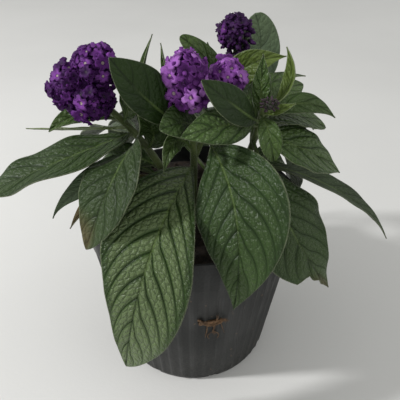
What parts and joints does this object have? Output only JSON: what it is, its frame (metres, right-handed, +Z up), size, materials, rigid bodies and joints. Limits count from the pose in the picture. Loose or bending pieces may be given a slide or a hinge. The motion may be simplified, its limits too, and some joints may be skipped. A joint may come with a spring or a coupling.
{
  "type": "potted heliotrope",
  "caption": "Heliotrope plant with quilted green leaves and dense violet flower heads, growing in a dark grey plastic nursery pot filled with compost.",
  "frame": {"origin": "centre of the pot's foot, on the surface it stands on", "axes": "+Z up along the pot's axis, -Y towards the front of the plant, +X to the right seen from the front"},
  "size_m": [0.2251, 0.1691, 0.1957],
  "materials": {
    "pot_plastic": "satin, slightly dusty",
    "compost": "rough, crumbly",
    "green_stem": "matt, finely hairy",
    "dry_root": "dull, fibrous",
    "leaf": "soft sheen, quilted, finely hairy",
    "pale_leaf": "matt, finely hairy",
    "young_leaf": "soft sheen, finely hairy",
    "dry_leaf": "dull, dry",
    "violet_florets": "matt, velvety",
    "purple_florets": "matt, velvety",
    "dark_florets": "matt, velvety",
    "calyx": "matt, hairy",
    "dark_bud": "matt, hairy"
  },
  "bodies": {
    "root": {"buds_back": "calyx", "buds_right": "dark_bud", "florets_back": "dark_florets", "florets_centre_left": "purple_florets", "florets_centre_right": "purple_florets", "florets_left": "violet_florets", "leaf_back_fold": "leaf", "leaf_back_round": "pale_leaf", "leaf_bud_down": "young_leaf", "leaf_bud_small": "young_leaf", "leaf_bud_up": "young_leaf", "leaf_centre_quilt": "leaf", "leaf_centre_round": "pale_leaf", "leaf_centre_spike": "leaf", "leaf_dry_scrap": "dry_leaf", "leaf_front_big": "leaf", "leaf_front_mid": "leaf", "leaf_hang_lime": "young_leaf", "leaf_left_curl": "leaf", "leaf_left_edge": "leaf", "leaf_left_hanging": "leaf", "leaf_left_inner": "leaf", "leaf_left_long": "leaf", "leaf_left_low": "leaf", "leaf_left_shield": "leaf", "leaf_left_spike": "leaf", "leaf_left_under": "pale_leaf", "leaf_mid_left": "leaf", "leaf_rear_high": "leaf", "leaf_rear_left_high": "leaf", "leaf_rear_left_low": "leaf", "leaf_rear_left_mid": "leaf", "leaf_rear_middle": "leaf", "leaf_rear_right_high": "leaf", "leaf_rear_right_low": "leaf", "leaf_rear_right_mid": "leaf", "leaf_rear_top_left": "leaf", "leaf_rear_top_right": "leaf", "leaf_right_back": "leaf", "leaf_right_blade": "young_leaf", "leaf_right_bright": "young_leaf", "leaf_right_broad": "leaf", "leaf_right_dark": "leaf", "leaf_right_edge": "leaf", "leaf_right_long": "leaf", "leaf_right_low": "leaf", "leaf_top_lime": "young_leaf", "leaf_top_small": "leaf", "leaf_under_centre": "pale_leaf", "leaf_under_left": "pale_leaf", "pot": "pot_plastic", "root_tuft": "dry_root", "soil": "compost", "stems": "green_stem"}
  },
  "joints": []
}
